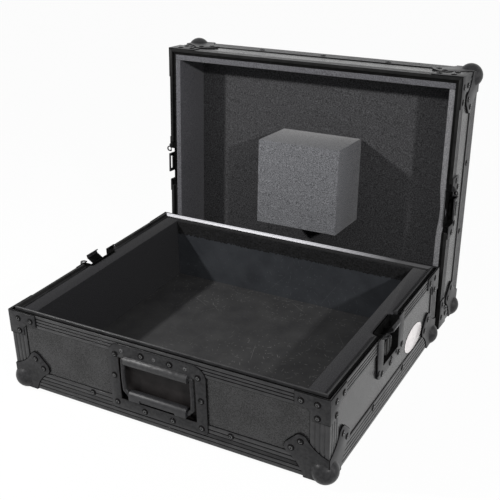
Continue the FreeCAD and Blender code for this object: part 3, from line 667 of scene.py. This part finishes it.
# Painted shade round the ball corners, rim brackets, handle plate and latch dishes
painted_shade_seat("base_ball_corners", base_place, 0.0010, 0.0008)
painted_shade_seat("lid_ball_corners", lid_place, 0.0010, 0.0008)
painted_shade_seat("base_rim_brackets", base_place, 0.0007, 0.0010)
painted_shade_seat("lid_rim_brackets", lid_place, 0.0007, 0.0010)
painted_shade_seat("handle_plate", base_place, 0.0008, 0.0010)
for side in ("right", "left"):
    round_flange(painted_shade_seat(side + "_latch_dish", base_place, 0.0003, 0.0021))

# Hollow pop rivets, black, that hold every fitting and edge to the panels: a glossy
# domed head with an open bore. A black ring round each larger head and the bore's walls are
# painted shade; the bore's floor and the three small rivets in the handle's hood are painted
# pale, a painted highlight.
rivet_black, tree, shader = finish_of("rivet_black", (0.003, 0.003, 0.003), 0.2, 0.1)
tint(tree, grain(tree, 400, 2), shader, (0.002, 0.002, 0.002), (0.004, 0.004, 0.004))
press_in(tree, grain(tree, 1200, 1), shader, 0.00005, 0.2)
rivet_painted_glint, tree, shader = finish_of("rivet_painted_glint", (0.06, 0.06, 0.062), 0.3, 0.5)
tint(tree, grain(tree, 400, 3), shader, (0.025, 0.025, 0.026), (0.08, 0.08, 0.083))


def shells_of(mesh):
    # The separate shells of a joined mesh, as lists of vertex numbers
    leads = list(range(len(mesh.vertices)))

    def lead(i):
        while leads[i] != i:
            leads[i] = leads[leads[i]]
            i = leads[i]
        return i
    for edge in mesh.edges:
        leads[lead(edge.vertices[0])] = lead(edge.vertices[1])
    shells = {}
    for i in range(len(leads)):
        shells.setdefault(lead(i), []).append(i)
    return list(shells.values())


def middle_of(points):
    return sum(points, Vector()) / len(points)


def span_along(points, axis):
    reaches = [point.dot(axis) for point in points]
    return max(reaches) - min(reaches)


def rivet_axes(mesh, place):
    # For each rivet: its vertices, the middle of its seat, its outward axis and radius
    centre, axes = middle_and_axes(place)
    found = []
    for shell in shells_of(mesh):
        points = [mesh.vertices[i].co for i in shell]
        axis = min(axes, key=lambda axis: span_along(points, axis))
        middle = middle_of(points)
        if axis.dot(middle - centre) < 0:
            axis = -axis
        seat = middle + axis * (min(p.dot(axis) for p in points) - middle.dot(axis))
        radius = max((p - seat - axis * (p - seat).dot(axis)).length for p in points)
        found.append((shell, seat, axis, radius))
    return found


bore_share, small_radius, rivet_edge = 0.36, 0.0032, 0.00015
ring_share, ring_tall = 1.18, 0.00015
in_bore_shade, in_glint = 1, 2
for node, place in (("base_rivets", base_place), ("lid_rivets", lid_place)):
    ring = copy_of(node, node + "_shade_rings")
    for shell, seat, axis, radius in rivet_axes(ring.data, place):
        for i in shell:
            arm = ring.data.vertices[i].co - seat
            rise = arm.dot(axis)
            share = 1.0 if radius < small_radius else ring_share
            flat_arm = (arm - axis * rise) * share
            ring.data.vertices[i].co = seat + flat_arm + axis * min(rise, ring_tall)
    cover(ring, painted_shade_black)
    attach(ring, frame["nodes"][node]["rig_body"])
    heads = break_edges(node, rivet_edge, rivet_black)
    heads.data.materials.append(painted_shade_black)
    heads.data.materials.append(rivet_painted_glint)
    faces_of = {}
    for face in heads.data.polygons:
        faces_of.setdefault(face.vertices[0], []).append(face)
    for shell, seat, axis, radius in rivet_axes(heads.data, place):
        for face in (face for i in shell for face in faces_of.get(i, ())):
            arm = face.center - seat
            # Painted highlight on the small hood rivets facing front and on the bore floors;
            # painted shade on the bore walls
            if radius < small_radius and node == "base_rivets" and arm.dot(axis) > 0:
                face.material_index = in_glint if axis.y < -facing else 0
            if (arm - axis * arm.dot(axis)).length < bore_share * radius:
                face.material_index = in_glint if face.normal.dot(axis) > facing else in_bore_shade

# Handle grip: moulded black plastic over the bail, glossy from use. Its underside is
# drawn up 1 mm, so that the dark line of the pan shows below it.
grip_gloss, tree, shader = finish_of("grip_gloss", (0.009, 0.009, 0.010), 0.52, 0.42)
tint(tree, grain(tree, 120, 3), shader, (0.005, 0.005, 0.006), (0.014, 0.014, 0.016))
press_in(tree, grain(tree, 160, 3), shader, 0.0012, 0.35)
grip = copy_of("handle_grip", "handle_grip_eased")
grip_low = min(vertex.co.z for vertex in grip.data.vertices)
under_tall, under_up, grip_edge = 0.004, 0.0010, 0.0006
for vertex in grip.data.vertices:
    rise = vertex.co.z - grip_low
    if rise < under_tall:
        vertex.co.z += under_up * (1 - rise / under_tall)
break_edges("handle_grip", grip_edge, grip_gloss, 3, grip)

# Linings: a smooth dark pad on the tray's floor and rear wall, scratched by the
# decks that slid in and out, and a matt felted one behind the foam in the lid.
lining, tree, shader = finish_of("floor_lining", (0.03, 0.03, 0.032), 0.5, 0.12)
two_turns, full_share, kept_fade = 4 * math.pi, 0.6, 0.05
floor_top, wall_from = 0.0275, 0.0285


def scratches(tree, apart, long, thin, kept):
    # One short scratch to a cell, each turned its own way; the rear wall is laid
    # flat behind the floor, so that the marks run over both
    flat = tree.nodes.new("ShaderNodeCombineXYZ")
    tree.links.new(along_axis(tree, "X"), flat.inputs["X"])
    back = combine(tree, "ADD", along_axis(tree, "Y"), along_axis(tree, "Z"))
    tree.links.new(back, flat.inputs["Y"])
    cells = tree.nodes.new("ShaderNodeTexVoronoi")
    cells.voronoi_dimensions = "2D"
    cells.inputs["Scale"].default_value = 1 / apart
    tree.links.new(flat.outputs["Vector"], cells.inputs["Vector"])
    arm = tree.nodes.new("ShaderNodeVectorMath")
    arm.operation = "SUBTRACT"
    tree.links.new(flat.outputs["Vector"], arm.inputs[0])
    tree.links.new(cells.outputs["Position"], arm.inputs[1])
    chance = tree.nodes.new("ShaderNodeSeparateColor")
    tree.links.new(cells.outputs["Color"], chance.inputs["Color"])
    turned = tree.nodes.new("ShaderNodeVectorRotate")
    turned.rotation_type = "Z_AXIS"
    tree.links.new(arm.outputs["Vector"], turned.inputs["Vector"])
    turn = combine(tree, "MULTIPLY", chance.outputs["Red"], two_turns)
    tree.links.new(turn, turned.inputs["Angle"])
    split = tree.nodes.new("ShaderNodeSeparateXYZ")
    tree.links.new(turned.outputs["Vector"], split.inputs["Vector"])
    across = combine(tree, "ABSOLUTE", split.outputs["Y"], 0.0)
    along = combine(tree, "ABSOLUTE", split.outputs["X"], 0.0)
    in_width = spread(tree, across, 1.0, 0.0, thin / 2, thin)
    in_length = spread(tree, along, 1.0, 0.0, long * full_share, long)
    there = spread(tree, chance.outputs["Green"], 1.0, 0.0, kept, kept + kept_fade)
    return combine(tree, "MULTIPLY", combine(tree, "MULTIPLY", in_width, in_length), there)


worn = spread(tree, grain(tree, 8, 3), 0.2, 1.0, 0.45, 0.60)
specks = scratches(tree, 0.009, 0.0016, 0.0006, 0.35)
nicks = scratches(tree, 0.017, 0.0050, 0.00045, 0.35)
long_marks = combine(tree, "MULTIPLY", scratches(tree, 0.055, 0.026, 0.0003, 0.45), 0.9)
marks = combine(tree, "MAXIMUM", combine(tree, "MAXIMUM", specks, nicks), long_marks)
on_floor = spread(tree, along_axis(tree, "Z"), 0.45, 0.15, floor_top, wall_from)
marks = combine(tree, "MULTIPLY", combine(tree, "MULTIPLY", marks, worn), on_floor)
haze = spread(tree, grain(tree, 30, 6), 0.0, 0.07)
tone = tint(tree, combine(tree, "ADD", haze, marks), shader,
            (0.028, 0.028, 0.029), (0.22, 0.22, 0.215), 0.0, 1.0)
# On the wall the pad is darker and bluer than on the floor
wall_tone = tree.nodes.new("ShaderNodeMix")
wall_tone.data_type = "RGBA"
wall_tone.blend_type = "MULTIPLY"
wall_tone.inputs[7].default_value = (0.80, 0.86, 0.95, 1)
on_wall = spread(tree, along_axis(tree, "Z"), 0.0, 1.0, floor_top, wall_from)
tree.links.new(on_wall, wall_tone.inputs[0])
tree.links.new(tone.outputs["Color"], wall_tone.inputs[6])
tree.links.new(wall_tone.outputs[2], shader.inputs["Base Color"])
press_in(tree, grain(tree, 420, 3), shader, 0.0001, 0.2)
cover(frame["nodes"]["base_floor_liner"], lining)
felt, tree, shader = finish_of("lid_lining", (0.04, 0.04, 0.042), 0.9, 0.1)
tint(tree, grain(tree, 520, 4), shader, (0.020, 0.020, 0.021), (0.075, 0.075, 0.079), 0.34, 0.70)
press_in(tree, grain(tree, 620, 3), shader, 0.0008, 0.5)
cover(frame["nodes"]["lid_back_liner"], felt)

# Foam: cut sheets glued to the walls, charcoal, and the paler block that holds
# the deck down when the case is shut.


def foam_of(name, dark, light, sheen, scale):
    material, tree, shader = finish_of(name, light, 0.95, 0.1)
    cells = grain(tree, scale, 4)
    tint(tree, cells, shader, dark, light, 0.34, 0.66)
    press_in(tree, cells, shader, 0.0010, 0.5)
    shader.inputs["Sheen Weight"].default_value = sheen
    shader.inputs["Sheen Roughness"].default_value = 0.45
    return material


foam_dark = foam_of("foam_charcoal", (0.014, 0.014, 0.015), (0.038, 0.038, 0.041), 0.10, 620)
foam_charcoal_darker = foam_of("foam_charcoal_darker", (0.008, 0.008, 0.009), (0.024, 0.024, 0.026), 0.06, 620)
foam_black = foam_of("foam_black", (0.003, 0.003, 0.003), (0.014, 0.014, 0.015), 0.04, 420)
foam_lid = foam_of("foam_slate", (0.038, 0.038, 0.043), (0.092, 0.092, 0.100), 0.16, 620)
foam_cut = foam_of("foam_cut", (0.050, 0.050, 0.055), (0.120, 0.120, 0.130), 0.20, 620)
foam_edge_lit_brighter = foam_of("foam_cut_pale", (0.090, 0.090, 0.095), (0.20, 0.20, 0.208), 0.20, 620)
foam_pale = foam_of("foam_grey", (0.048, 0.049, 0.053), (0.185, 0.188, 0.20), 0.20, 640)
slack_middle, slack_half, slack_out, slack_cuts = 0.205, 0.050, 0.0035, 24
foam_edge, cut_up = 0.0012, 0.7


def pull_slack(sheet):
    # The right lid foam hangs slack where the keeper's dish leaves it no wall behind
    bpy.ops.object.mode_set(mode="EDIT")
    bpy.ops.mesh.select_all(action="SELECT")
    across = (lid_place.to_3x3() @ Vector((0, 1, 0))).normalized()
    for step in range(slack_cuts + 1):
        y = slack_middle - slack_half + slack_half * step * 2 / slack_cuts
        bpy.ops.mesh.bisect(plane_co=lid_place @ Vector((0, y, 0)), plane_no=across)
        bpy.ops.mesh.select_all(action="SELECT")
    bpy.ops.object.mode_set(mode="OBJECT")
    home = lid_place.inverted()
    for vertex in sheet.data.vertices:
        at = home @ vertex.co
        share = (at.y - slack_middle) / slack_half
        if abs(share) < 1 and at.z > lid_tall / 2:
            rim_share = (at.z - lid_tall / 2) / (lid_tall / 2)
            at.x += slack_out * (0.5 + 0.5 * math.cos(math.pi * share)) * rim_share
            vertex.co = lid_place @ at


# The left sheet in the base is darker than the other charcoal sheets
foam_kinds = {"lid_foam_block": foam_pale, "base_rear_foam": foam_black,
              "base_left_foam": foam_charcoal_darker}
for node in sorted(frame["nodes"]):
    if "foam" in node:
        usual = foam_lid if node.startswith("lid") else foam_dark
        sheet = break_edges(node, foam_edge, foam_kinds.get(node, usual), 3)
        # Painted light: the lid sheets' faces that look out of the lid are painted paler, and
        # paler still on the right sheet
        if node.startswith("lid") and "block" not in node:
            sheet.data.materials.append(foam_edge_lit_brighter if "right" in node else foam_cut)
            for face in sheet.data.polygons:
                at, normal = face_at(face, lid_place.inverted())[:2]
                if normal.z > cut_up and at.z > lid_tall / 2:
                    face.material_index = 1
        if node == "lid_right_foam":
            pull_slack(sheet)

# Torn lower edge of the rear foam, where the strip was cut with a blunt knife and
# hangs ragged over the lining.
fringe_half, fringe_high, fringe_low, fringe_face = 0.226, 0.1075, 0.1045, 0.4050
fringe_steps, fringe_thick, torn_edge = 320, 0.0004, 0.0005
torn_down, torn_up = 0.0022, 0.0016
fringe_middle = Vector((0, fringe_face, (fringe_high + fringe_low) / 2))
bpy.ops.object.select_all(action="DESELECT")
bpy.ops.mesh.primitive_grid_add(x_subdivisions=fringe_steps, y_subdivisions=2, size=1)
fringe = bpy.context.object
fringe.name = "base_rear_foam_fringe"
fringe.data.transform(base_place @ Matrix.Translation(fringe_middle)
                      @ Matrix.Rotation(math.pi / 2, 4, "X")
                      @ Matrix.Diagonal((2 * fringe_half, fringe_high - fringe_low, 1, 1)))
chance = random.Random(4)
bottom = min(vertex.co.z for vertex in fringe.data.vertices)
for vertex in fringe.data.vertices:
    if vertex.co.z < bottom + torn_edge:
        vertex.co.z += chance.uniform(-torn_down, torn_up)
thicken(fringe, fringe_thick)
fringe.data.materials.append(foam_black)
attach(fringe, "base")

# Badge: a plain oval of glossy printed plastic, glued to the right wall; a black line
# round it, widest at its front, is painted shade along its edge.
badge_white, tree, shader = finish_of("badge_white", (0.8, 0.77, 0.77), 0.25)
tint(tree, grain(tree, 60, 3), shader, (0.72, 0.69, 0.69), (0.82, 0.79, 0.79))
badge_edge, shade_wide, shade_off, shade_sunk = 0.0001, 0.0007, 0.0004, 0.0003
break_edges("side_badge", badge_edge, badge_white)
shade_line = copy_of("side_badge", "side_badge_shade_line")
middle = middle_of([vertex.co for vertex in shade_line.data.vertices])
for vertex in shade_line.data.vertices:
    arm = vertex.co - middle
    outer = arm.x > 0
    arm.x = 0
    vertex.co += arm.normalized() * shade_wide
    vertex.co.y -= shade_off
    if outer:
        vertex.co.x -= shade_sunk
cover(shade_line, painted_shade_black)
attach(shade_line, frame["nodes"]["side_badge"]["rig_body"])

low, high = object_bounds()
